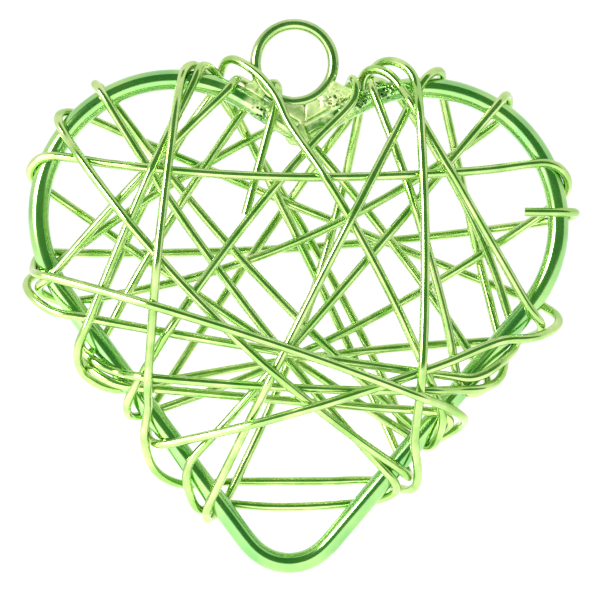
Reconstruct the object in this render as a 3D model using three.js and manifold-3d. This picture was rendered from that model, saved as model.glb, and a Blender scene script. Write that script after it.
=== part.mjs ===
// A heart-shaped hanging wreath frame: a thick rod bent to a heart, a hanging ring brazed
// into its cleft, and one long thin wire wound criss-cross over the front and the back.
//
// Millimetres. +X to the right, +Z up, the front faces -Y. The heart lies in the plane y = 0
// and the origin is the centre of the hanging ring's eye.

import * as THREE from 'three';
import { mergeVertices } from 'three/addons/utils/BufferGeometryUtils.js';
import Module from 'manifold-3d';

const wasm = await Module();
wasm.setup();

// ---------------------------------------------------------------- driving dimensions

const ROD_DIAMETER = 2.3;         // the heart's rod
const LOBE_RADIUS = 15.0;         // each upper lobe, to the rod's centreline
const LOBE_OFFSET = 13.8;         // a lobe's centre from the heart's axis
const CLEFT_SLOPE = 30;           // degrees that the rod drops towards the cleft
const LEG_SLOPE = 51.6;           // degrees from level of the two straight legs
const TIP_RADIUS = 5.6;           // the bend at the tip, to the rod's centreline

const RING_INNER_DIAMETER = 7.4;  // the eye
const RING_WIRE_DIAMETER = 1.25;
const RING_OFF_AXIS = -1.0;       // the ring sits a little left of the axis
const RING_JOINT_GAP = 0.2;       // where the ring's two ends meet
const RING_TO_ROD_GAP = 0.2;      // the ring stops this far above the left arm

const WIRE_DIAMETER = 1.0;        // the winding
const WIRE_GAP = 0.06;            // clearance wherever the winding touches anything
const RING_CLEARANCE = 0.16;      // and where it passes the ring, which is a tighter curve
const HOOK_SLACK = 0.2;           // how far the first turn stays off the ring's wire
const HOOK_FROM = -1.1;           // its places along the arm, from where the ring is nearest
const HOOK_AT = 0.65;
const HOOK_TO = 2.05;
const TAIL_START_LENGTH = 11.3;   // the loose end that the winding starts from
const TAIL_END_LENGTH = 3.9;      // the stub that it finishes with

const BRAZE_GAP = 0.05;           // clearance between the braze and what it sticks to
const ROD_END_GAP = 0.2;          // between the rod's two cut ends, at their nearest corners

const ROD_SIDES = 12;
const ROD_STEPS = 104;
const RING_SIDES = 10;
const RING_STEPS = 36;
const WIRE_SIDES = 6;

const rodRadius = ROD_DIAMETER / 2;
const ringWireRadius = RING_WIRE_DIAMETER / 2;
const wireRadius = WIRE_DIAMETER / 2;
const touching = WIRE_DIAMETER + WIRE_GAP;            // between two touching wires' centrelines
const onRod = rodRadius + wireRadius + WIRE_GAP;      // from the rod's centreline to a wire on it

const lacquer = { roughness: 0.22, metalness: 1.0 };
const frameFinish = new THREE.MeshStandardMaterial({ color: '#5fae52', ...lacquer });
const wireFinish = new THREE.MeshStandardMaterial({ color: '#8edb58', ...lacquer });
const ringFinish = new THREE.MeshStandardMaterial({ color: '#86c95a', ...lacquer });
const brazeFinish = new THREE.MeshStandardMaterial({ color: '#8fbf5a', roughness: 0.5, metalness: 1.0 });

// ---------------------------------------------------------------- the heart's outline

// The rod's centreline as a plane path, from the cleft down the left arm, round the left
// lobe, down the left leg, round the tip and back up the right side to the cleft.
function heartOutline() {
  const slope = THREE.MathUtils.degToRad(CLEFT_SLOPE);
  const leg = THREE.MathUtils.degToRad(LEG_SLOPE);
  const armX = LOBE_OFFSET - LOBE_RADIUS * Math.sin(slope);
  const cleftZ = LOBE_RADIUS * Math.cos(slope) - armX * Math.tan(slope);
  const legX = LOBE_OFFSET + LOBE_RADIUS * Math.sin(leg);
  const legZ = -LOBE_RADIUS * Math.cos(leg);
  const tipZ = legZ - legX * Math.tan(leg) + TIP_RADIUS / Math.cos(leg);

  const path = new THREE.Path();
  path.moveTo(0, cleftZ);
  path.lineTo(-armX, LOBE_RADIUS * Math.cos(slope));
  path.absarc(-LOBE_OFFSET, 0, LOBE_RADIUS, Math.PI / 2 - slope, 1.5 * Math.PI - leg, false);
  path.absarc(0, tipZ, TIP_RADIUS, 1.5 * Math.PI - leg, 1.5 * Math.PI + leg, false);
  path.absarc(LOBE_OFFSET, 0, LOBE_RADIUS, leg - Math.PI / 2, Math.PI / 2 + slope, false);
  path.lineTo(0, cleftZ);
  return { path, cleftZ, length: path.getLength() };
}

const heart = heartOutline();

// A place beside the rod: so many millimetres along it from the cleft, and so many outwards.
function beside(along, outward = 0) {
  const t = THREE.MathUtils.clamp(along / heart.length, 0, 1);
  const point = heart.path.getPoint(t);
  const tangent = heart.path.getTangent(t);
  return new THREE.Vector2(point.x + tangent.y * outward, point.y - tangent.x * outward);
}

function alongDirection(along) {
  return heart.path.getTangent(THREE.MathUtils.clamp(along / heart.length, 0, 1));
}

// A plane path, or a list of points, as a centreline for ExtrudeGeometry.
class Centreline extends THREE.Curve {
  constructor(points) {
    super();
    this.points = points;
  }

  getPoint(t, target = new THREE.Vector3()) {
    const place = t * (this.points.length - 1);
    const index = Math.min(Math.floor(place), this.points.length - 2);
    return target.lerpVectors(this.points[index], this.points[index + 1], place - index);
  }

  getPointAt(u, target) {
    return this.getPoint(u, target);
  }

  getTangentAt(u, target = new THREE.Vector3()) {
    const last = this.points.length - 1;
    const index = Math.round(u * last);
    const before = this.points[Math.max(index - 1, 0)];
    const here = this.points[index];
    const after = this.points[Math.min(index + 1, last)];
    const arriving = here.clone().sub(before).normalize();
    const leaving = after.clone().sub(here).normalize();
    return target.addVectors(arriving, leaving).normalize();
  }
}

// A round wire along a list of points, with one ring of corners at each point.
function wireAlong(points, radius, sides) {
  const section = new THREE.Shape();
  section.absarc(0, 0, radius, 0, 2 * Math.PI, false);
  return new THREE.ExtrudeGeometry(section, {
    steps: points.length - 1,
    curveSegments: sides / 2,     // a closed circle gets two corners per segment
    extrudePath: new Centreline(points),
  });
}

function inPlane(point, y = 0) {
  return new THREE.Vector3(point.x, y, point.y);
}

// ---------------------------------------------------------------- frame rod

function heartRod(radius = rodRadius, endGap = ROD_END_GAP) {
  // The upper corners of the two cut ends meet first, so the ends stop that much short.
  const slope = THREE.MathUtils.degToRad(CLEFT_SLOPE);
  const setBack = (endGap / 2 + rodRadius * Math.sin(slope)) / Math.cos(slope);
  const points = [];
  for (let i = 0; i <= ROD_STEPS; i++) {
    const along = setBack + ((heart.length - 2 * setBack) * i) / ROD_STEPS;
    points.push(inPlane(beside(along)));
  }
  return wireAlong(points, radius, ROD_SIDES);
}

// ---------------------------------------------------------------- hanging ring

const ringRadius = (RING_INNER_DIAMETER + RING_WIRE_DIAMETER) / 2;

// The ring rests just above the left arm, so its height follows from where that arm runs.
const ringFromArm = ringRadius + ringWireRadius + rodRadius + RING_TO_ROD_GAP;

function ringCentre() {
  const slope = THREE.MathUtils.degToRad(CLEFT_SLOPE);
  const z = heart.cleftZ + (ringFromArm - RING_OFF_AXIS * Math.sin(slope)) / Math.cos(slope);
  return new THREE.Vector2(RING_OFF_AXIS, z);
}

const eye = ringCentre();

// How far along the left arm the ring comes nearest to it.
function nearestToRing() {
  const slope = THREE.MathUtils.degToRad(CLEFT_SLOPE);
  return (eye.y - heart.cleftZ) * Math.sin(slope) - RING_OFF_AXIS * Math.cos(slope);
}

// A place on the left arm in the route's measure, from where the ring comes nearest.
function pastRing(distance) {
  return (1000 * (nearestToRing() + distance)) / heart.length;
}

// The first turn of the winding passes through the eye, just inside the ring's wire.
const HOOK_REACH =
  ringFromArm - ringRadius + ringWireRadius + wireRadius + RING_CLEARANCE + HOOK_SLACK;

function ringPoints() {
  const jointAngle = RING_JOINT_GAP / ringRadius;
  const start = -Math.PI / 2 + jointAngle / 2;
  const sweep = 2 * Math.PI - jointAngle;
  const points = [];
  for (let i = 0; i <= RING_STEPS; i++) {
    const angle = start + (sweep * i) / RING_STEPS;
    const x = eye.x + ringRadius * Math.cos(angle);
    const z = eye.y + ringRadius * Math.sin(angle);
    points.push(new THREE.Vector3(x, 0, z));
  }
  return points;
}

// ---------------------------------------------------------------- the winding's route

// The wire runs from turn to turn, across the front and across the back by turns. Each turn
// arrives over the rod, goes over its outside and leaves again; each of the three is a place:
// thousandths of the way round the heart from the cleft, and mm out from the rod's centreline.
// The last number is how far the strand that leaves bows to its left on its way (mm). The
// first turn hooks through the eye and over the left arm, so its places go by the ring.
const ROUTE = [
  [[pastRing(HOOK_FROM), 0], [pastRing(HOOK_AT), HOOK_REACH], [pastRing(HOOK_TO), 0], -0.6],
  [[314, 0], [319, 2.6], [348, 0], -0.1],     // left leg
  [[639, 0], [635, 1.7], [621, 0], 1.5],      // right leg
  [[132, 0], [135, 2.0], [134, 0], -1.4],     // left lobe
  [[588, 0], [582, 1.9], [563, 0], 0.4],      // right leg, low
  [[442, 0], [435, 2.3], [409, 0], -0.2],     // left leg, low
  [[869, 0], [867, 2.0], [861, 0], 3.7],      // right lobe
  [[282, 0], [266, 2.1], [263, 0], 0.3],      // left side
  [[53, 0], [50, 1.7], [32, 2.0], 0.9],       // left of the cleft
  [[677, 0], [671, 2.1], [658, 0], -0.7],     // right leg
  [[948, 0], [946, 1.8], [934, 0], 1.5],      // right of the cleft
  [[710, 0], [700, 1.7], [667, 0], 0.3],      // right leg
  [[291, 0], [262, 2.2], [256, 0], 1.2],      // left side
  [[962, 2.0], [956, 2.9], [960, 0.6], -1.2], // behind the ring and over the right arm
  [[351, 0], [362, 2.2], [369, 0], -2.0],     // left leg
  [[795, 0], [806, 1.7], [821, 0], 2.1],      // right side
  [[185, 0], [198, 1.7], [205, 0], -0.3],     // left side
  [[615, 0], [618, 1.7], [639, 0], -1.1],     // right leg
  [[8, 0.3], [57, 2.3], [63, 0], -1.3],       // past the front of the ring, left of the cleft
  [[302, 0], [310, 2.0], [339, 0], -0.6],     // left leg
  [[657, 0], [680, 2.6], [698, 0], 0],        // right leg
  [[904, 0], [907, 2.0], [919, 0], -0.2],     // right lobe
  [[434, 0], [444, 2.2], [439, 0], -1.9],     // left leg, low
  [[962, 0], [946, 2.8], [930, 0], -0.1],     // right of the cleft
  [[724, 0], [718, 2.3], [697, 0], -0.8],     // right leg
  [[350, 0], [325, 3.5], [303, 0], 0.2],      // slack turn on the left leg
  [[75, 0], [71, 2.0], [62, 0], 0.3],         // left lobe
  [[600, 0], [595, 2.1], [595, 0], 2.4],      // right leg, low
  [[168, 0], [161, 1.9], [152, 0], -0.1],     // left lobe
  [[731, 0], [728, 2.1], [699, 0], 0.7],      // right leg
  [[392, 0], [382, 2.0], [366, 0], 0.5],      // left leg
  [[956, 0.4], [938, 3.4], [924, 0], 0.9],    // slack turn right of the cleft
  [[612, 0], [591, 2.0], [580, 0], 0],        // right leg, low
  [[426, 0], [400, 3.1], [369, 0], 0.3],      // slack turn on the left leg
  [[80, 0], [77, 1.8], [61, 0], 1.1],         // left lobe
  [[613, 0], [642, 2.7], [644, 0], -0.8],     // right leg
  [[266, 0], [255, 1.7], [252, 0], -1.1],     // left side
  [[786, 0], [788, 2.0], [789, 0], 0],        // right side, where the winding ends
];

const TAIL_START_AIMS_AT = 400;   // the loose end hangs towards this place on the left leg
const TAIL_END_AIMS_AT = 219;     // and the stub points at this one on the left side

const TURN_STEPS = 6;             // corners of the wire round half the rod
const SAMPLE = 0.4;               // spacing at which strands are tested against each other
const NUDGE = 0.2;                // a turn that is in the way of another moves by steps of this
const MOST_SLIDE = WIRE_DIAMETER; // along the rod
const MOST_RIDE = 4 * WIRE_DIAMETER;  // and off the rod
const SLIDE_COST = 1.5;           // a slide counts for this much, and a ride for the next
const RIDE_COST = 2;
const LANDING = 1.2;              // a turn is as high as what its strands cross this close to it
const CORNER_SPACING = 7.0;       // longest straight stretch of a bowed strand
const SHORTEST_STRETCH = 0.5;     // corners nearer than this are left out
const STEEPEST = 1.5;             // most that a turn runs along the rod as it goes outwards

function mm(thousandths) {
  return (thousandths / 1000) * heart.length;
}

// Turns are numbered from 0. The strand that leaves turn 0 runs across the back.
const FRONT = -1;
const BACK = 1;
const sideLeaving = (turn) => (turn % 2 === 0 ? BACK : FRONT);

// The plan of a strand: a shallow arc from one turn to the next, seen from the front.
class Plan {
  constructor(from, to, bow) {
    this.from = from;
    this.chord = to.clone().sub(from);
    this.length = this.chord.length();
    this.sideways = new THREE.Vector2(-this.chord.y, this.chord.x).divideScalar(this.length);
    this.bow = bow;
  }

  at(t) {
    return this.from.clone()
      .addScaledVector(this.chord, t)
      .addScaledVector(this.sideways, 4 * this.bow * t * (1 - t));
  }

  heading(t) {
    return this.chord.clone()
      .addScaledVector(this.sideways, 4 * this.bow * (1 - 2 * t))
      .normalize();
  }
}

// A loose tail: straight from the rod towards a place across the heart, and cut off.
function tailPlan(start, aimsAt, length) {
  const direction = beside(mm(aimsAt)).sub(start).normalize();
  return new Plan(start, start.clone().addScaledVector(direction, length), 0);
}

// How far a strand runs along the rod for each millimetre outwards, where it crosses the rod.
function obliqueness(heading, along) {
  const tangent = alongDirection(along);
  const across = Math.abs(heading.x * tangent.y - heading.y * tangent.x);
  const ratio = heading.dot(tangent) / Math.max(across, 1e-6);
  return THREE.MathUtils.clamp(ratio, -STEEPEST, STEEPEST);
}

// Between two values with given slopes at both ends.
function hermite(from, to, slopeFrom, slopeTo, t) {
  return from * (1 + 2 * t) * (1 - t) ** 2 + to * (3 - 2 * t) * t ** 2 +
    slopeFrom * t * (1 - t) ** 2 + slopeTo * (t - 1) * t ** 2;
}

// Corners of the wire's centreline round one turn, from the side that it arrives on to the
// side that it leaves on.
function turnCorners({ arrives, over, leaves, obliqueIn, obliqueOut, side }) {
  const midSlope = (leaves.along - arrives.along) / 2;
  const lead = (Math.PI / 2) * onRod;
  const corners = [];
  for (let i = 0; i <= TURN_STEPS; i++) {
    const t = (2 * i) / TURN_STEPS - 1;
    const end = t < 0 ? arrives : leaves;
    const angle = (Math.PI / 2) * Math.abs(t);
    const along = t < 0
      ? hermite(arrives.along, over.along, lead * obliqueIn, midSlope, 1 + t)
      : hermite(over.along, leaves.along, midSlope, lead * obliqueOut, t);
    const outward = end.outward + (over.outward - end.outward) * Math.cos(angle);
    const height = end.height * Math.sin(angle) * (t < 0 ? side : -side);
    corners.push(inPlane(beside(along, outward), height));
  }
  return corners;
}

const rodSamples = Array.from({ length: 601 }, (_, i) => beside((heart.length * i) / 600));

function distanceToRod(place) {
  return Math.sqrt(Math.min(...rodSamples.map((p) => p.distanceToSquared(place))));
}

// Everything that the wire has to clear: the ring, and whatever has been wound already.
class Laid {
  constructor() {
    this.samples = [];
  }

  add(points, turn, clearance = touching) {
    for (let i = 0; i + 1 < points.length; i++) {
      const pieces = Math.max(1, Math.ceil(points[i].distanceTo(points[i + 1]) / SAMPLE));
      for (let j = 0; j < pieces; j++) {
        const point = points[i].clone().lerp(points[i + 1], j / pieces);
        this.samples.push({ point, turn, clearance });
      }
    }
  }

  // The least height on one side at which a wire clears the rod and all that lies there.
  floorAt(place, side, beforeTurn) {
    const fromRod = distanceToRod(place);
    let floor = fromRod < onRod ? Math.sqrt(onRod ** 2 - fromRod ** 2) : 0;
    for (const { point, turn, clearance } of this.samples) {
      if (turn >= beforeTurn) continue;
      const dx = point.x - place.x;
      const dz = point.z - place.y;
      const apart = dx * dx + dz * dz;
      if (apart >= clearance ** 2) continue;
      floor = Math.max(floor, side * point.y + Math.sqrt(clearance ** 2 - apart));
    }
    return floor;
  }

  near(centre, radius, beforeTurn) {
    return this.samples.filter(({ point, turn }) =>
      turn < beforeTurn && Math.hypot(point.x - centre.x, point.z - centre.y) < radius);
  }
}

const RING = -1;                  // the ring's samples come before every turn

function clears(corners, samples) {
  const points = corners.flatMap((corner, i) =>
    (i === 0 ? [corner] : [corner.clone().lerp(corners[i - 1], 0.5), corner]));
  return points.every((p) =>
    samples.every(({ point, clearance }) => p.distanceToSquared(point) >= clearance ** 2));
}

// Settle a turn where it clears the ring and everything wound before it. Each end may slide
// along the rod, and the whole turn may ride over others, wider or not; the least wins.
function settle(turn, planInTo, planOutFrom, laid, beforeTurn) {
  const span = Math.max(Math.abs(turn.arrives.along - turn.over.along),
    Math.abs(turn.leaves.along - turn.over.along));
  const room = span + MOST_SLIDE + turn.over.outward + MOST_RIDE + 2 * touching;
  const samples = laid.near(beside(turn.over.along), room, beforeTurn);
  const slid = (end, planFor, fromEnd, side) => {
    const choices = [];
    for (let d = -MOST_SLIDE; d <= MOST_SLIDE; d += NUDGE) {
      const place = { ...end, along: end.along + d };
      const height = landingHeight(planFor(place), fromEnd, side, laid, beforeTurn);
      choices.push({ ...place, height, cost: SLIDE_COST * Math.abs(d) + height });
    }
    return choices;
  };
  const choices = [];
  for (const arrives of slid(turn.arrives, planInTo, turn.index > 0, turn.side)) {
    for (const leaves of slid(turn.leaves, planOutFrom, false, -turn.side)) {
      for (let ride = 0; ride <= MOST_RIDE; ride += NUDGE) {
        const cost = arrives.cost + leaves.cost + RIDE_COST * ride;
        choices.push({ arrives, leaves, ride, widen: 0, cost });
        choices.push({ arrives, leaves, ride, widen: ride, cost: cost + ride });
      }
    }
  }
  choices.sort((a, b) => a.cost - b.cost);
  for (const { arrives, leaves, ride, widen } of choices) {
    const settled = {
      ...turn,
      arrives: { ...arrives, height: arrives.height + ride },
      over: { ...turn.over, outward: turn.over.outward + widen },
      leaves: { ...leaves, height: leaves.height + ride },
    };
    if (clears(turnCorners(settled), samples)) return Object.assign(turn, settled);
  }
  throw new Error(`no room on the rod for turn ${turn.index + 1} of the winding`);
}

// The heights of a strand pulled taut over what lies under it: the upper hull of the least
// heights along it.
function tautProfile(floors) {
  const hull = [];
  for (const next of floors) {
    while (hull.length > 1) {
      const a = hull[hull.length - 2];
      const b = hull[hull.length - 1];
      const bend = (b.along - a.along) * (next.height - a.height) -
        (b.height - a.height) * (next.along - a.along);
      if (bend < 0) break;
      hull.pop();
    }
    hull.push(next);
  }
  return hull;
}

function heightOn(profile, along) {
  const index = Math.max(1, profile.findIndex((corner) => corner.along >= along));
  const a = profile[index - 1];
  const b = profile[index];
  return a.height + ((b.height - a.height) * (along - a.along)) / (b.along - a.along);
}

function layStrand(plan, side, heightFrom, heightTo, laid, beforeTurn) {
  const steps = Math.ceil(plan.length / SAMPLE);
  const floors = [{ along: 0, height: heightFrom }];
  for (let i = 1; i < steps; i++) {
    const t = i / steps;
    floors.push({ along: t * plan.length, height: laid.floorAt(plan.at(t), side, beforeTurn) });
  }
  floors.push({ along: plan.length, height: heightTo });
  const profile = tautProfile(floors);
  const stops = new Set(profile.map((corner) => corner.along));
  const stretches = Math.ceil(plan.length / CORNER_SPACING);
  for (let i = 1; i < stretches; i++) stops.add((plan.length * i) / stretches);
  return [...stops].sort((a, b) => a - b).map((along) =>
    inPlane(plan.at(along / plan.length), side * heightOn(profile, along)));
}

// The least height of a turn on one side: as high as whatever its strand crosses close to it.
function landingHeight(plan, fromEnd, side, laid, beforeTurn) {
  let height = onRod;
  for (let d = 0; d <= LANDING; d += SAMPLE) {
    const t = fromEnd ? 1 - d / plan.length : d / plan.length;
    height = Math.max(height, laid.floorAt(plan.at(t), side, beforeTurn));
  }
  return height;
}

// Leave out corners that crowd their neighbours, but never the first or the last.
function thinned(corners) {
  const kept = [corners[0]];
  const last = corners[corners.length - 1];
  for (const corner of corners.slice(1, -1)) {
    if (corner.distanceTo(kept[kept.length - 1]) < SHORTEST_STRETCH) continue;
    if (corner.distanceTo(last) < SHORTEST_STRETCH) continue;
    kept.push(corner);
  }
  return [...kept, last];
}

function windWire() {
  const laid = new Laid();
  laid.add(ringPoints(), RING, ringWireRadius + wireRadius + RING_CLEARANCE);

  const lastIndex = ROUTE.length - 1;
  const place = ([station, outward]) => ({ along: mm(station), outward });
  const turns = ROUTE.map(([arrives, over, leaves, bow], index) => ({
    arrives: place(arrives),
    over: place([over[0], Math.max(over[1], onRod)]),
    leaves: place(leaves),
    bow,
    index,
    side: -sideLeaving(index),
  }));
  const at = ({ along, outward }) => beside(along, outward);

  const wire = [];
  turns.forEach((turn, i) => {
    const planInTo = (arrives) => (i === 0
      ? tailPlan(at(arrives), TAIL_START_AIMS_AT, TAIL_START_LENGTH)
      : new Plan(at(turns[i - 1].leaves), at(arrives), turns[i - 1].bow));
    const planOutFrom = (leaves) => (i === lastIndex
      ? tailPlan(at(leaves), TAIL_END_AIMS_AT, TAIL_END_LENGTH)
      : new Plan(at(leaves), at(turns[i + 1].arrives), turn.bow));
    const before = i - 1;
    const heading = planInTo(turn.arrives).heading(i === 0 ? 0 : 1);
    if (i === 0) heading.negate();
    turn.obliqueIn = obliqueness(heading, turn.arrives.along);
    turn.obliqueOut = obliqueness(planOutFrom(turn.leaves).heading(0), turn.leaves.along);
    settle(turn, planInTo, planOutFrom, laid, before);

    const heightFrom = i === 0 ? turn.arrives.height : turns[i - 1].leaves.height;
    const planIn = planInTo(turn.arrives);
    const strand = layStrand(planIn, turn.side, heightFrom, turn.arrives.height, laid, before);
    if (i === 0) strand.reverse();
    const corners = turnCorners(turn);
    laid.add(strand, i - 1);
    laid.add(corners, i);
    wire.push(...strand.slice(0, -1), ...corners.slice(0, -1));
    if (i < lastIndex) return;
    const { height } = turn.leaves;
    wire.push(...layStrand(planOutFrom(turn.leaves), -turn.side, height, height, laid, before));
  });
  return thinned(wire);
}

// ---------------------------------------------------------------- braze

const BRAZE_THICKNESS = 1.2;      // front to back
const BRAZE_EDGE = 0.25;          // its rounded edges
const BRAZE_RIGHT_END = 8.3;      // how far from the cleft it runs along the right arm
const BRAZE_RIGHT_TOP = -22;      // and how far up the ring, in degrees from level
const BRAZE_LEFT_START = 5.6;     // along the left arm, beyond the ring's nearest point
const BRAZE_LEFT_END = 45.5;      // in the route's measure, short of the turns that follow
const BRAZE_LEFT_TOP = -158;
const BRAZE_CLEFT_END = 4.0;      // along the left arm, up to the ring's nearest point
const BRAZE_PARTING = 0.12;       // between the cleft's braze and the right one

function onRing(degrees, radius = ringRadius) {
  const angle = THREE.MathUtils.degToRad(degrees);
  return new THREE.Vector2(
    eye.x + radius * Math.cos(angle), eye.y + radius * Math.sin(angle));
}

function onRightArm(fromCleft, outward) {
  return beside(heart.length - fromCleft, outward);
}

function solid(geometry) {
  const plain = new THREE.BufferGeometry();
  const flat = geometry.index ? geometry.toNonIndexed() : geometry;
  plain.setAttribute('position', flat.getAttribute('position'));
  const merged = mergeVertices(plain, 1e-4);
  return new wasm.Manifold(new wasm.Mesh({
    numProp: 3,
    vertProperties: new Float32Array(merged.getAttribute('position').array),
    triVerts: new Uint32Array(merged.index.array),
  }));
}

// A flat drop of braze with rounded edges, cut away where the rod and the ring run through
// it. What the cut leaves on the far side of them is dropped.
function brazeDrop(outline) {
  const drop = new THREE.ExtrudeGeometry(outline, {
    depth: BRAZE_THICKNESS - 2 * BRAZE_EDGE,
    bevelThickness: BRAZE_EDGE,
    bevelSize: BRAZE_EDGE,
    bevelOffset: -BRAZE_EDGE,
    bevelSegments: 3,
    curveSegments: 10,
  });
  drop.rotateX(Math.PI / 2);
  drop.translate(0, BRAZE_THICKNESS / 2 - BRAZE_EDGE, 0);
  const torus = new THREE.TorusGeometry(
    ringRadius, ringWireRadius + BRAZE_GAP, RING_SIDES, RING_STEPS);
  torus.rotateX(Math.PI / 2);
  torus.translate(eye.x, 0, eye.y);
  const ring = solid(torus);
  const rod = solid(heartRod(rodRadius + BRAZE_GAP, ROD_END_GAP - 2 * BRAZE_GAP));
  const pieces = solid(drop).subtract(ring).subtract(rod).decompose();
  pieces.sort((a, b) => b.volume() - a.volume());
  const mesh = pieces[0].getMesh();
  const geometry = new THREE.BufferGeometry();
  geometry.setAttribute('position', new THREE.BufferAttribute(mesh.vertProperties, 3));
  geometry.setIndex(new THREE.BufferAttribute(mesh.triVerts, 1));
  return geometry;
}

// The big fillet between the ring's lower right and the right arm, with a hollow top edge.
function brazeRight() {
  const end = onRightArm(BRAZE_RIGHT_END, rodRadius - BRAZE_EDGE);
  const top = onRing(BRAZE_RIGHT_TOP);
  const hollow = onRing(BRAZE_RIGHT_TOP - 3, 1.4 * ringRadius);
  const start = onRing(-72);
  const shape = new THREE.Shape();
  shape.moveTo(start.x, heart.cleftZ + rodRadius);
  shape.lineTo(onRightArm(2, 0).x, onRightArm(2, 0).y);
  shape.lineTo(end.x, end.y);
  shape.quadraticCurveTo(hollow.x, hollow.y, top.x, top.y);
  shape.lineTo(onRing(-47).x, onRing(-47).y);
  shape.lineTo(start.x, start.y);
  return shape;
}

// The small fillet left of where the ring comes closest to the left arm.
function brazeLeft() {
  return new THREE.Shape([
    beside(mm(BRAZE_LEFT_END), 0),
    beside(BRAZE_LEFT_START, 0),
    beside(BRAZE_LEFT_START, ringFromArm - ringRadius),
    onRing(BRAZE_LEFT_TOP),
    beside(mm(BRAZE_LEFT_END), rodRadius + BRAZE_EDGE),
  ]);
}

// Between the rod's two cut ends, and up to the ring's underside left of the axis.
function brazeCleft() {
  const low = heart.cleftZ - rodRadius;
  const parting = onRing(-72).x - BRAZE_PARTING;
  return new THREE.Shape([
    new THREE.Vector2(-rodRadius, low),
    new THREE.Vector2(rodRadius, low),
    new THREE.Vector2(parting, heart.cleftZ + rodRadius),
    new THREE.Vector2(parting, onRing(-80).y),
    onRing(-105),
    beside(BRAZE_CLEFT_END, ringFromArm - ringRadius),
    beside(BRAZE_CLEFT_END, 0),
  ]);
}

// ---------------------------------------------------------------- assembly

const part = new THREE.Group();
const inHeartFrame = new THREE.Group();
inHeartFrame.position.set(-eye.x, 0, -eye.y);
part.add(inHeartFrame);

function addPiece(name, geometry, finish) {
  const mesh = new THREE.Mesh(geometry, finish);
  mesh.name = name;
  inHeartFrame.add(mesh);
}

addPiece('heart_frame', heartRod(), frameFinish);
addPiece('hanging_ring', wireAlong(ringPoints(), ringWireRadius, RING_SIDES), ringFinish);
addPiece('winding_wire', wireAlong(windWire(), wireRadius, WIRE_SIDES), wireFinish);
addPiece('braze_right', brazeDrop(brazeRight()), brazeFinish);
addPiece('braze_left', brazeDrop(brazeLeft()), brazeFinish);
addPiece('braze_cleft', brazeDrop(brazeCleft()), brazeFinish);

export default part;
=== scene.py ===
# %% [markdown]
# # A heart-shaped wreath frame, step by step
#
# The real object is three pieces of steel, joined and then lacquered green: a thick rod bent to
# a heart, a small ring brazed into its cleft, and one long thin wire wound criss-cross over
# both sides. The engineering model already holds all of them at their true size, as many-sided
# prisms. Here each one is drawn again as the smooth, shiny thing that it is.
#
# Everything is in metres, in the frame of that model: X to the right, Z up, and the front faces
# along -Y. The origin is the middle of the hanging ring.

import math

import bmesh
import bpy
from mathutils import Matrix, Vector, noise


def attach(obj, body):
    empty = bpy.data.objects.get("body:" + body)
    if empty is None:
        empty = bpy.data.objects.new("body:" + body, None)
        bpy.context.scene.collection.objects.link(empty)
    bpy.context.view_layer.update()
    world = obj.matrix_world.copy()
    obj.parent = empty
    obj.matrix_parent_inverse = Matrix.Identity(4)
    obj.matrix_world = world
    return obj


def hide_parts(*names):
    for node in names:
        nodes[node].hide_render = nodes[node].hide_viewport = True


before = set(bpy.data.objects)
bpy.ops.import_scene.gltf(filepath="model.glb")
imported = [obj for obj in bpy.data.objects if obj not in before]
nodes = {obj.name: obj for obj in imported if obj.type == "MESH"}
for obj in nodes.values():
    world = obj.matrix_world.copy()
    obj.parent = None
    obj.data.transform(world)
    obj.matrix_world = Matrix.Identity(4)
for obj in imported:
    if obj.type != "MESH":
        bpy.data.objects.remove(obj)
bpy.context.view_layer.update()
MM = 0.001

# %% [markdown]
# ## The camera
#
# Small goods like this are photographed straight from the front with a long lens, so that all
# of the frame is seen without perspective swelling its middle. The camera is turned by just
# under two degrees about its own axis, because the heart does not hang quite upright.

# %% Camera
IMAGE_HEIGHT = 611
ROW_HEIGHT = 0.1107 * MM          # what one row of the image shows of the frame
FIELD = IMAGE_HEIGHT * ROW_HEIGHT
AIM_ACROSS, AIM_UP = 2.03 * MM, -26.75 * MM
NEAREST_SEEN, FARTHEST_SEEN = 0.01, 20.0
LENS = 120.0
SENSOR = 36.0
ROLL = math.radians(-1.84)
camera_data = bpy.data.cameras.new("camera")
camera_data.lens = LENS
camera_data.sensor_width = SENSOR
camera_data.clip_start = NEAREST_SEEN
camera_data.clip_end = FARTHEST_SEEN
camera = bpy.data.objects.new("camera", camera_data)
distance = FIELD * LENS / SENSOR
camera.matrix_world = (
    Matrix.Translation((AIM_ACROSS, -distance, AIM_UP))
    @ Matrix.Rotation(ROLL, 4, "Y")
    @ Matrix.Rotation(math.radians(90), 4, "X")
)
bpy.context.collection.objects.link(camera)
bpy.context.scene.camera = camera
print("camera is", round(distance, 3), "m in front of the frame")

# %% [markdown]
# ## Finding each wire's centreline again
#
# The engineering model draws a wire as a chain of flat-sided rings of corners. In a copy of
# that mesh the doubled corners are merged, one end cap is found, and the rings are walked one
# after another. The middle of each ring is a point of the wire's centreline. The corners of a
# ring are added up in the order of their numbers, so that every run gives the same sums.
#
# A smooth curve through those points bends as the real wire does, but easing its kinks pulls
# it inwards. It leaves the points by at most 0.02 mm in the ring, 0.06 mm in the rod and
# 0.23 mm in the winding, whose tight bends move most, and there strands can cut into each
# other by up to 0.1 mm where they cross.

# %% Centreline of a many-sided wire
SAME_POINT = 0.001 * MM
SAME_PLANE = 0.99999              # least cosine between the normals of a cap's triangles
SAME_REACH = 0.01 * MM            # how much a cap's corners may differ in reach from its middle
INSIDE_CORNER_FACES = 6           # triangles round a corner that is not at an end


def merged_copy(node):
    """A merged working copy of a CAD node's triangles."""
    mesh = bmesh.new()
    mesh.from_mesh(node.data)
    bmesh.ops.remove_doubles(mesh, verts=mesh.verts, dist=SAME_POINT)
    mesh.verts.index_update()
    return mesh


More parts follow.
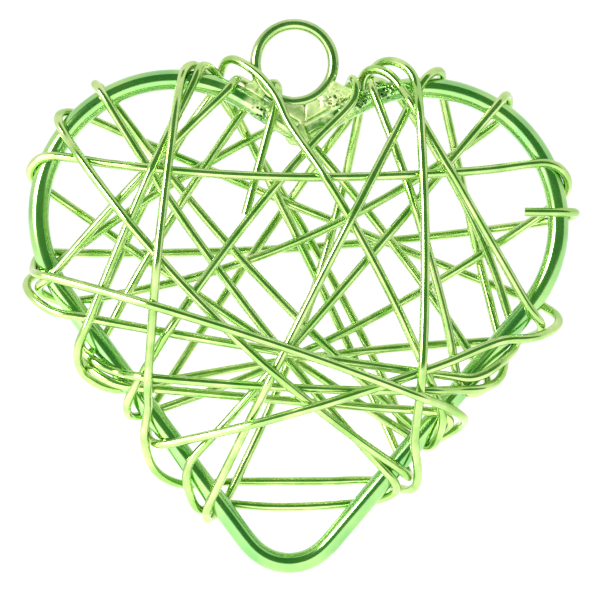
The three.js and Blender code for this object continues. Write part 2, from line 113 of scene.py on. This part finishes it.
def end_cap(mesh, sides):
    """The corners of one flat end. Only corners at an end touch other than six triangles."""
    for corner in (v for v in mesh.verts if len(v.link_faces) != INSIDE_CORNER_FACES):
        for face in corner.link_faces:
            cap, grown = {face}, [face]
            while grown:
                for edge in grown.pop().edges:
                    for other in edge.link_faces:
                        if other not in cap and other.normal.dot(face.normal) > SAME_PLANE:
                            cap.add(other)
                            grown.append(other)
            corners = {v for f in cap for v in f.verts}
            middle = sum((v.co for v in corners), Vector()) / len(corners)
            reaches = [(v.co - middle).length for v in corners]
            if len(corners) == sides and max(reaches) - min(reaches) < SAME_REACH:
                return corners
    raise ValueError("this wire has no flat end")


def rings_of(node, sides):
    """The corner rings of a wire, in order from one end to the other, as lists of points."""
    mesh = merged_copy(node)
    current = end_cap(mesh, sides)
    seen = set(current)
    rings = []
    while current:
        rings.append([v.co.copy() for v in sorted(current, key=lambda v: v.index)])
        current = {e.other_vert(v) for v in current for e in v.link_edges} - seen
        seen |= current
    mesh.free()
    return rings


def centreline(node, sides):
    """The middle of every ring of corners, leaving out the few that are not whole."""
    rings = rings_of(node, sides)
    whole = [ring for ring in rings if len(ring) == sides]
    print(node.name, "has", len(rings), "rings of corners,", len(whole), "of them whole")
    return [sum(ring, Vector()) / sides for ring in whole]


WIRE_SIDES, ROD_SIDES, RING_SIDES = 6, 12, 10

wire_corners = centreline(nodes["winding_wire"], WIRE_SIDES)
rod_corners = centreline(nodes["heart_frame"], ROD_SIDES)
ring_corners = centreline(nodes["hanging_ring"], RING_SIDES)

# %% [markdown]
# ## Smooth wire from a list of corners
#
# A wire bends in curves, never at corners, so the corners are joined by a Catmull-Rom curve,
# which passes through every one of them. Its centripetal form does not overshoot where a long
# straight stretch meets a tight bend. A curve object with a round bevel then gives the wire
# its thickness and closes its ends.

# %% Smooth wires
def spaced(points, step):
    """Points along a centripetal Catmull-Rom curve, about one step apart."""
    first = points[0] * 2 - points[1]
    last = points[-1] * 2 - points[-2]
    padded = [first, *points, last]
    smooth = []
    for p0, p1, p2, p3 in zip(padded, padded[1:], padded[2:], padded[3:]):
        t1 = (p1 - p0).length ** 0.5
        t2 = t1 + (p2 - p1).length ** 0.5
        t3 = t2 + (p3 - p2).length ** 0.5
        count = max(1, round((p2 - p1).length / step))
        for i in range(count):
            t = t1 + (t2 - t1) * i / count
            a1 = p0.lerp(p1, t / t1)
            a2 = p1.lerp(p2, (t - t1) / (t2 - t1))
            a3 = p2.lerp(p3, (t - t2) / (t3 - t2))
            b1 = a1.lerp(a2, t / t2)
            b2 = a2.lerp(a3, (t - t1) / (t3 - t1))
            smooth.append(b1.lerp(b2, (t - t1) / (t2 - t1)))
    smooth.append(points[-1].copy())
    return smooth


def relaxed(points, passes):
    """The same points with the small kinks between neighbours eased."""
    for _ in range(passes):
        points = [
            points[0],
            *(b * 0.5 + (a + c) * 0.25 for a, b, c in zip(points, points[1:], points[2:])),
            points[-1],
        ]
    return points


def wire_along(name, points, diameter, rounds):
    """A round wire through the points, made a mesh, with its ends closed."""
    curve = bpy.data.curves.new(name, "CURVE")
    curve.dimensions = "3D"
    curve.twist_mode = "MINIMUM"
    curve.bevel_depth = diameter / 2
    curve.bevel_resolution = rounds
    curve.use_fill_caps = True
    spline = curve.splines.new("POLY")
    spline.points.add(len(points) - 1)
    for place, point in zip(spline.points, points):
        place.co = (*point, 1)
    drawn = bpy.data.objects.new(name + "_curve", curve)
    bpy.context.collection.objects.link(drawn)
    shape = bpy.data.meshes.new_from_object(
        drawn.evaluated_get(bpy.context.evaluated_depsgraph_get()))
    bpy.data.objects.remove(drawn)
    shape.name = name
    piece = bpy.data.objects.new(name, shape)
    bpy.context.collection.objects.link(piece)
    print(name, "has", len(shape.polygons), "faces")
    return piece


WIRE_DIAMETER, WIRE_STEP, WIRE_PASSES, WIRE_ROUNDS = 1.0 * MM, 0.5 * MM, 3, 3
ROD_DIAMETER, ROD_STEP, ROD_PASSES, ROD_ROUNDS = 2.3 * MM, 0.6 * MM, 4, 6
RING_DIAMETER, RING_STEP, RING_PASSES, RING_ROUNDS = 1.25 * MM, 0.35 * MM, 2, 5
RING_END_CLOSED = 0.095 * MM      # the ring's two ends nearly meet under the lacquer

wire_line = relaxed(spaced(wire_corners, WIRE_STEP), WIRE_PASSES)
wire_length = sum((b - a).length for a, b in zip(wire_line, wire_line[1:]))
print("the winding is", round(wire_length / MM), "mm long, in", len(wire_line), "points")
wire = wire_along("wire", wire_line, WIRE_DIAMETER, WIRE_ROUNDS)
rod_line = relaxed(spaced(rod_corners, ROD_STEP), ROD_PASSES)
rod = wire_along("rod", rod_line, ROD_DIAMETER, ROD_ROUNDS)
ring_line = relaxed(spaced(ring_corners, RING_STEP), RING_PASSES)
for end, inside in ((0, 1), (-1, -2)):
    ring_line[end] += (ring_line[end] - ring_line[inside]).normalized() * RING_END_CLOSED
ring = wire_along("ring", ring_line, RING_DIAMETER, RING_ROUNDS)

for piece, node, finish in ((wire, "winding_wire", "wire_lacquer"),
                            (rod, "heart_frame", "rod_lacquer"),
                            (ring, "hanging_ring", "ring_lacquer")):
    for face in piece.data.polygons:
        face.use_smooth = True
    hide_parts(node)
    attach(piece, "root")

# %% [markdown]
# ## Braze
#
# Braze is brass or bronze run into a joint with a torch. It wets the steel, so its edge creeps
# up the rod in a hollow curve, and where the flux boiled it is full of pits. The plain drops
# of the engineering model are remeshed to an even skin, swelled a little so that they wet the
# rod and the ring, and dented with noise.

# %% Braze drops
BRAZE_SKIN = 0.13 * MM
BRAZE_WETTING = 0.10 * MM
BRAZE_SOFTNESS, BRAZE_SOFTENINGS = 0.6, 6
LUMPS_PER_M, LUMP_HEIGHT = 600, 0.08 * MM
PATCHES_PER_M, PATCH_FROM = 330, 0.02
PITS_PER_M, PIT_FROM, PIT_DEPTH = 1900, 0.05, 3.0 * MM
PATCH_SHIFT = Vector((2, 5, 4))   # so that lumps, patches and pits do not share one noise
PIT_SHIFT = Vector((7, 3, 1))


def braze_drop(node_name):
    """One drop of braze as an even, dented skin in place of its CAD node."""
    name = node_name + "_metal"
    mesh = merged_copy(nodes[node_name])
    shape = bpy.data.meshes.new(name)
    mesh.to_mesh(shape)
    mesh.free()
    drop = bpy.data.objects.new(name, shape)
    bpy.context.collection.objects.link(drop)
    remesh = drop.modifiers.new("even skin", "REMESH")
    remesh.mode = "VOXEL"
    remesh.voxel_size = BRAZE_SKIN
    soften = drop.modifiers.new("soften", "SMOOTH")
    soften.factor = BRAZE_SOFTNESS
    soften.iterations = BRAZE_SOFTENINGS
    evaluated = drop.evaluated_get(bpy.context.evaluated_depsgraph_get())
    skin = bpy.data.meshes.new_from_object(evaluated)
    drop.modifiers.clear()
    drop.data = skin
    skin.name = name
    for vertex in skin.vertices:
        place = vertex.co
        lump = noise.noise(place * LUMPS_PER_M) * LUMP_HEIGHT
        patch = max(0.0, noise.noise(place * PATCHES_PER_M + PATCH_SHIFT) - PATCH_FROM)
        pit = max(0.0, noise.noise(place * PITS_PER_M + PIT_SHIFT) - PIT_FROM) * patch * PIT_DEPTH
        vertex.co += vertex.normal * (BRAZE_WETTING + lump - pit)
    for face in skin.polygons:
        face.use_smooth = True
    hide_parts(node_name)
    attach(drop, "root")
    print(name, "has", len(skin.polygons), "faces")
    return drop


braze = [braze_drop(name) for name in ("braze_right", "braze_left", "braze_cleft")]

# %% [markdown]
# ## Lacquer over steel
#
# The green is a candy lacquer: clear varnish with a green dye, sprayed over bright steel. Light
# goes in, mirrors off the steel and comes back green, so the surface behaves like green metal
# with a clear coat on top. That is a Principled shader with metallic at 1 and a coat. Near the
# cleft the braze has run along the steel as a thin duller film, with patches of pits whose
# hollows get painted shade.

# %% Materials
def linear(hex_colour):
    """An sRGB hex colour as the linear RGBA that shaders take."""
    channels = [int(hex_colour[i:i + 2], 16) / 255 for i in (1, 3, 5)]
    return (*(c / 12.92 if c <= 0.04045 else ((c + 0.055) / 1.055) ** 2.4 for c in channels), 1)


def add_node(tree, kind, settings=None, **links):
    """A node of that kind. Settings name its properties or inputs, and links its inputs."""
    node = tree.nodes.new(kind)
    for name, value in (settings or {}).items():
        if name in node.inputs:
            node.inputs[name].default_value = value
        else:
            setattr(node, name, value)
    for name, socket in links.items():
        tree.links.new(socket, node.inputs[name])
    return node


LACQUER_DETAIL, LACQUER_ROUGHNESS = 3.0, 0.55
THIN_UP_TO, THICK_FROM = 0.38, 0.62
GRAIN_MM, GRAIN_DETAIL, GRAIN_STRENGTH, GRAIN_HEIGHT = 1.6, 2.0, 0.10, 0.05 * MM
COAT, COAT_ROUGHNESS = 0.6, 0.06

# The pit colour is painted shade: the dark of the pits' hollows, mixed into the colour.
BRAZE_PALE, BRAZE_SHADED, PIT_SHADE_COLOUR = "#DCEBA6", "#A4C672", "#22401C"
BRAZE_METALLIC = 0.45             # braze mirrors less than drawn steel
CLEFT = Vector((1.0, 0, -7.8)) * MM
PITTED = ((4.6, -4.0), (7.5, -4.1), (10.1, -2.9), (-3.6, -5.6))    # patches, across and up in mm
PITTED_INSIDE, PITTED_OUTSIDE = 0.6 * MM, 1.5 * MM
PITTED_FRONT = -1.0 * MM
FILM_INSIDE, FILM_OUTSIDE = 5.5 * MM, 11.0 * MM
FILM_RAGGED_MM, FILM_DETAIL, FILM_GAIN, FILM_OFFSET = 1.4, 3.0, 4.0, -1.65
BUBBLE_MM, BUBBLE_GAIN, BUBBLE_OFFSET = 0.42, -4.0, 2.1
DENT_STRENGTH, DENT_DEPTH = 0.9, 0.12 * MM


def fades(tree, place, centre, inside, outside):
    """A socket that is 1 up to one distance from a centre and falls to 0 at another."""
    away = add_node(tree, "ShaderNodeVectorMath", {"operation": "DISTANCE"},
                    Vector=place.outputs["Object"])
    away.inputs[1].default_value = centre
    fade = add_node(tree, "ShaderNodeMapRange",
                    {"From Min": inside, "From Max": outside, "To Min": 1.0, "To Max": 0.0},
                    Value=away.outputs["Value"])
    return fade.outputs["Result"]


def calculated(tree, operation, first, second, third=None):
    """The result of one sum, held between 0 and 1. Its terms are sockets or numbers."""
    node = add_node(tree, "ShaderNodeMath", {"operation": operation, "use_clamp": True})
    for socket, value in zip(node.inputs, (first, second, third)):
        if isinstance(value, bpy.types.NodeSocket):
            tree.links.new(value, socket)
        elif value is not None:
            socket.default_value = value
    return node.outputs["Value"]


def mixed(tree, factor, first, second):
    """One colour at factor 0 and another at 1. All three are sockets or values."""
    node = add_node(tree, "ShaderNodeMix", {"data_type": "RGBA"})
    for socket, value in zip((node.inputs[0], node.inputs[6], node.inputs[7]),
                             (factor, first, second)):
        if isinstance(value, bpy.types.NodeSocket):
            tree.links.new(value, socket)
        else:
            socket.default_value = value
    return node.outputs[2]


def add_braze(tree, place, colour, steel, normal):
    """Braze that has run along the steel near the cleft, with a few patches of pits, painted dark
    as shade.
    """
    shader = tree.nodes["Principled BSDF"]
    ragged = add_node(tree, "ShaderNodeTexNoise",
                      {"Scale": 1000 / FILM_RAGGED_MM, "Detail": FILM_DETAIL},
                      Vector=place.outputs["Object"])
    film = fades(tree, place, CLEFT, FILM_INSIDE, FILM_OUTSIDE)
    film = calculated(tree, "MULTIPLY", film, calculated(
        tree, "MULTIPLY_ADD", ragged.outputs["Fac"], FILM_GAIN, FILM_OFFSET))
    patches = 0.0
    for across, up in PITTED:
        middle = (across * MM, PITTED_FRONT, up * MM)
        patch = fades(tree, place, middle, PITTED_INSIDE, PITTED_OUTSIDE)
        patches = calculated(tree, "MAXIMUM", patch, patches)
    bubbles = add_node(tree, "ShaderNodeTexVoronoi", {"Scale": 1000 / BUBBLE_MM},
                       Vector=place.outputs["Object"])
    hole = calculated(tree, "MULTIPLY_ADD", bubbles.outputs["Distance"],
                      BUBBLE_GAIN, BUBBLE_OFFSET)
    # The pit mask dents the surface and also paints it dark there: painted shade in the pits.
    pit_dents_and_shade = calculated(tree, "MULTIPLY", patches, hole)
    colour = mixed(tree, film, colour, linear(BRAZE_PALE))
    colour = mixed(tree, pit_dents_and_shade, colour, linear(PIT_SHADE_COLOUR))
    tree.links.new(colour, shader.inputs["Base Color"])
    metal = calculated(tree, "MULTIPLY_ADD", film, BRAZE_METALLIC - steel, steel)
    tree.links.new(metal, shader.inputs["Metallic"])
    dents = add_node(tree, "ShaderNodeBump",
                     {"Strength": DENT_STRENGTH, "Distance": DENT_DEPTH, "invert": True},
                     Height=pit_dents_and_shade, Normal=normal)
    tree.links.new(dents.outputs["Normal"], shader.inputs["Normal"])


def lacquer(name, thin, thick, roughness, streak_mm, steel=1.0, brazed=False):
    """Candy lacquer: thin where it drew away and bright, thick where it pooled and deep."""
    material = bpy.data.materials.new(name)
    material.use_nodes = True
    tree = material.node_tree
    shader = tree.nodes["Principled BSDF"]
    place = add_node(tree, "ShaderNodeTexCoord")
    pooled = add_node(tree, "ShaderNodeTexNoise",
                      {"Scale": 1000 / streak_mm, "Detail": LACQUER_DETAIL,
                       "Roughness": LACQUER_ROUGHNESS},
                      Vector=place.outputs["Object"])
    span = add_node(tree, "ShaderNodeMapRange", {"From Min": THIN_UP_TO, "From Max": THICK_FROM},
                    Value=pooled.outputs["Fac"])
    colour = mixed(tree, span.outputs["Result"], linear(thin), linear(thick))
    tree.links.new(colour, shader.inputs["Base Color"])
    grain = add_node(tree, "ShaderNodeTexNoise", {"Scale": 1000 / GRAIN_MM, "Detail": GRAIN_DETAIL},
                     Vector=place.outputs["Object"])
    bump = add_node(tree, "ShaderNodeBump", {"Strength": GRAIN_STRENGTH, "Distance": GRAIN_HEIGHT},
                    Height=grain.outputs["Fac"])
    tree.links.new(bump.outputs["Normal"], shader.inputs["Normal"])
    shader.inputs["Metallic"].default_value = steel
    shader.inputs["Roughness"].default_value = roughness
    shader.inputs["Coat Weight"].default_value = COAT
    shader.inputs["Coat Roughness"].default_value = COAT_ROUGHNESS
    if brazed:
        add_braze(tree, place, colour, steel, bump.outputs["Normal"])
    return material


# Each one: thin and thick colour, roughness, length of its streaks in mm, and how metallic.
rod_lacquer = lacquer("green lacquer on rod", "#A6D47E", "#84C272", 0.16, 6.0, brazed=True)
wire_lacquer = lacquer("green lacquer on wire", "#C6DE90", "#9CC868", 0.17, 3.0)
ring_lacquer = lacquer("green lacquer on ring", "#B6D086", "#92BA6C", 0.20, 3.0)
braze_lacquer = lacquer("green lacquer on braze", BRAZE_PALE, BRAZE_SHADED, 0.30, 1.2,
                        BRAZE_METALLIC, brazed=True)

finished = ((wire, wire_lacquer), (rod, rod_lacquer), (ring, ring_lacquer),
            *((drop, braze_lacquer) for drop in braze))
for piece, material in finished:
    piece.data.materials.clear()
    piece.data.materials.append(material)
print("lacquered", len(finished), "pieces")

# %% [markdown]
# ## The studio
#
# Shiny wire shows its surroundings, so the surroundings are what is lit. White all round gives
# the pale rims. A dim green wall behind the camera gives the deep green middle of each wire,
# and a soft box at the left puts the highlights on.

# %% Floor, wall and light
BOARD_ROUGHNESS = 0.9


def plain(name, colour, glow=0.0):
    """A dull board, which may give some light of its own."""
    material = bpy.data.materials.new(name)
    material.use_nodes = True
    shader = material.node_tree.nodes["Principled BSDF"]
    shader.inputs["Base Color"].default_value = linear(colour)
    shader.inputs["Roughness"].default_value = BOARD_ROUGHNESS
    shader.inputs["Emission Color"].default_value = linear(colour)
    shader.inputs["Emission Strength"].default_value = glow
    return material


def panel(name, size_x, size_y, matrix, material):
    """A flat board that only stages the frame."""
    mesh = bmesh.new()
    bmesh.ops.create_grid(mesh, x_segments=1, y_segments=1, size=0.5,
                          matrix=matrix @ Matrix.Diagonal((size_x, size_y, 1, 1)))
    shape = bpy.data.meshes.new(name)
    mesh.to_mesh(shape)
    mesh.free()
    shape.materials.append(material)
    board = bpy.data.objects.new(name, shape)
    bpy.context.collection.objects.link(board)
    return board


FLOOR_SIZE, FLOOR_HEIGHT, FLOOR_GLOW = 4.0, -75 * MM, 0.35
WHITE_LEVEL = 1.05
WALL_SIZE = (1.10, 0.62)
WALL_PLACE = (0.10, -0.30, 0.05)
WALL_SLANT = 45                   # it runs from upper left to lower right
WALL_GLOW = 0.42
KEY_PLACE, KEY_SIZE, KEY_WATTS = (-0.16, -0.14, 0.02), 0.10, 0.5
FRAME_MIDDLE = (2 * MM, 0, -27 * MM)

panel("floor", FLOOR_SIZE, FLOOR_SIZE, Matrix.Translation((0, 0, FLOOR_HEIGHT)),
      plain("white floor", "#F6F6F4", FLOOR_GLOW))
upright = Matrix.Rotation(math.radians(90), 4, "X")
slant = Matrix.Rotation(math.radians(WALL_SLANT), 4, "Y")
dark_wall = panel("dark_wall", *WALL_SIZE, Matrix.Translation(WALL_PLACE) @ slant @ upright,
                  plain("dim green wall", "#3E6B3C", WALL_GLOW))
dark_wall.visible_camera = False
dark_wall.visible_diffuse = False
dark_wall.visible_shadow = False

world = bpy.data.worlds.new("white studio")
bpy.context.scene.world = world
world.use_nodes = True
world.node_tree.nodes["Background"].inputs["Color"].default_value = (1, 1, 1, 1)
world.node_tree.nodes["Background"].inputs["Strength"].default_value = WHITE_LEVEL


def soft_box(name, place, target, size, watts):
    """A round area light that the camera does not see."""
    data = bpy.data.lights.new(name, "AREA")
    data.shape = "DISK"
    data.size = size
    data.energy = watts
    box = bpy.data.objects.new(name, data)
    aim = (Vector(target) - Vector(place)).to_track_quat("-Z", "Y")
    box.matrix_world = Matrix.Translation(place) @ aim.to_matrix().to_4x4()
    bpy.context.collection.objects.link(box)
    box.visible_camera = False


soft_box("key", KEY_PLACE, FRAME_MIDDLE, KEY_SIZE, KEY_WATTS)
print("studio has a floor, a dim wall, a white world and one soft box")

bpy.context.scene.view_settings.view_transform = "Standard"
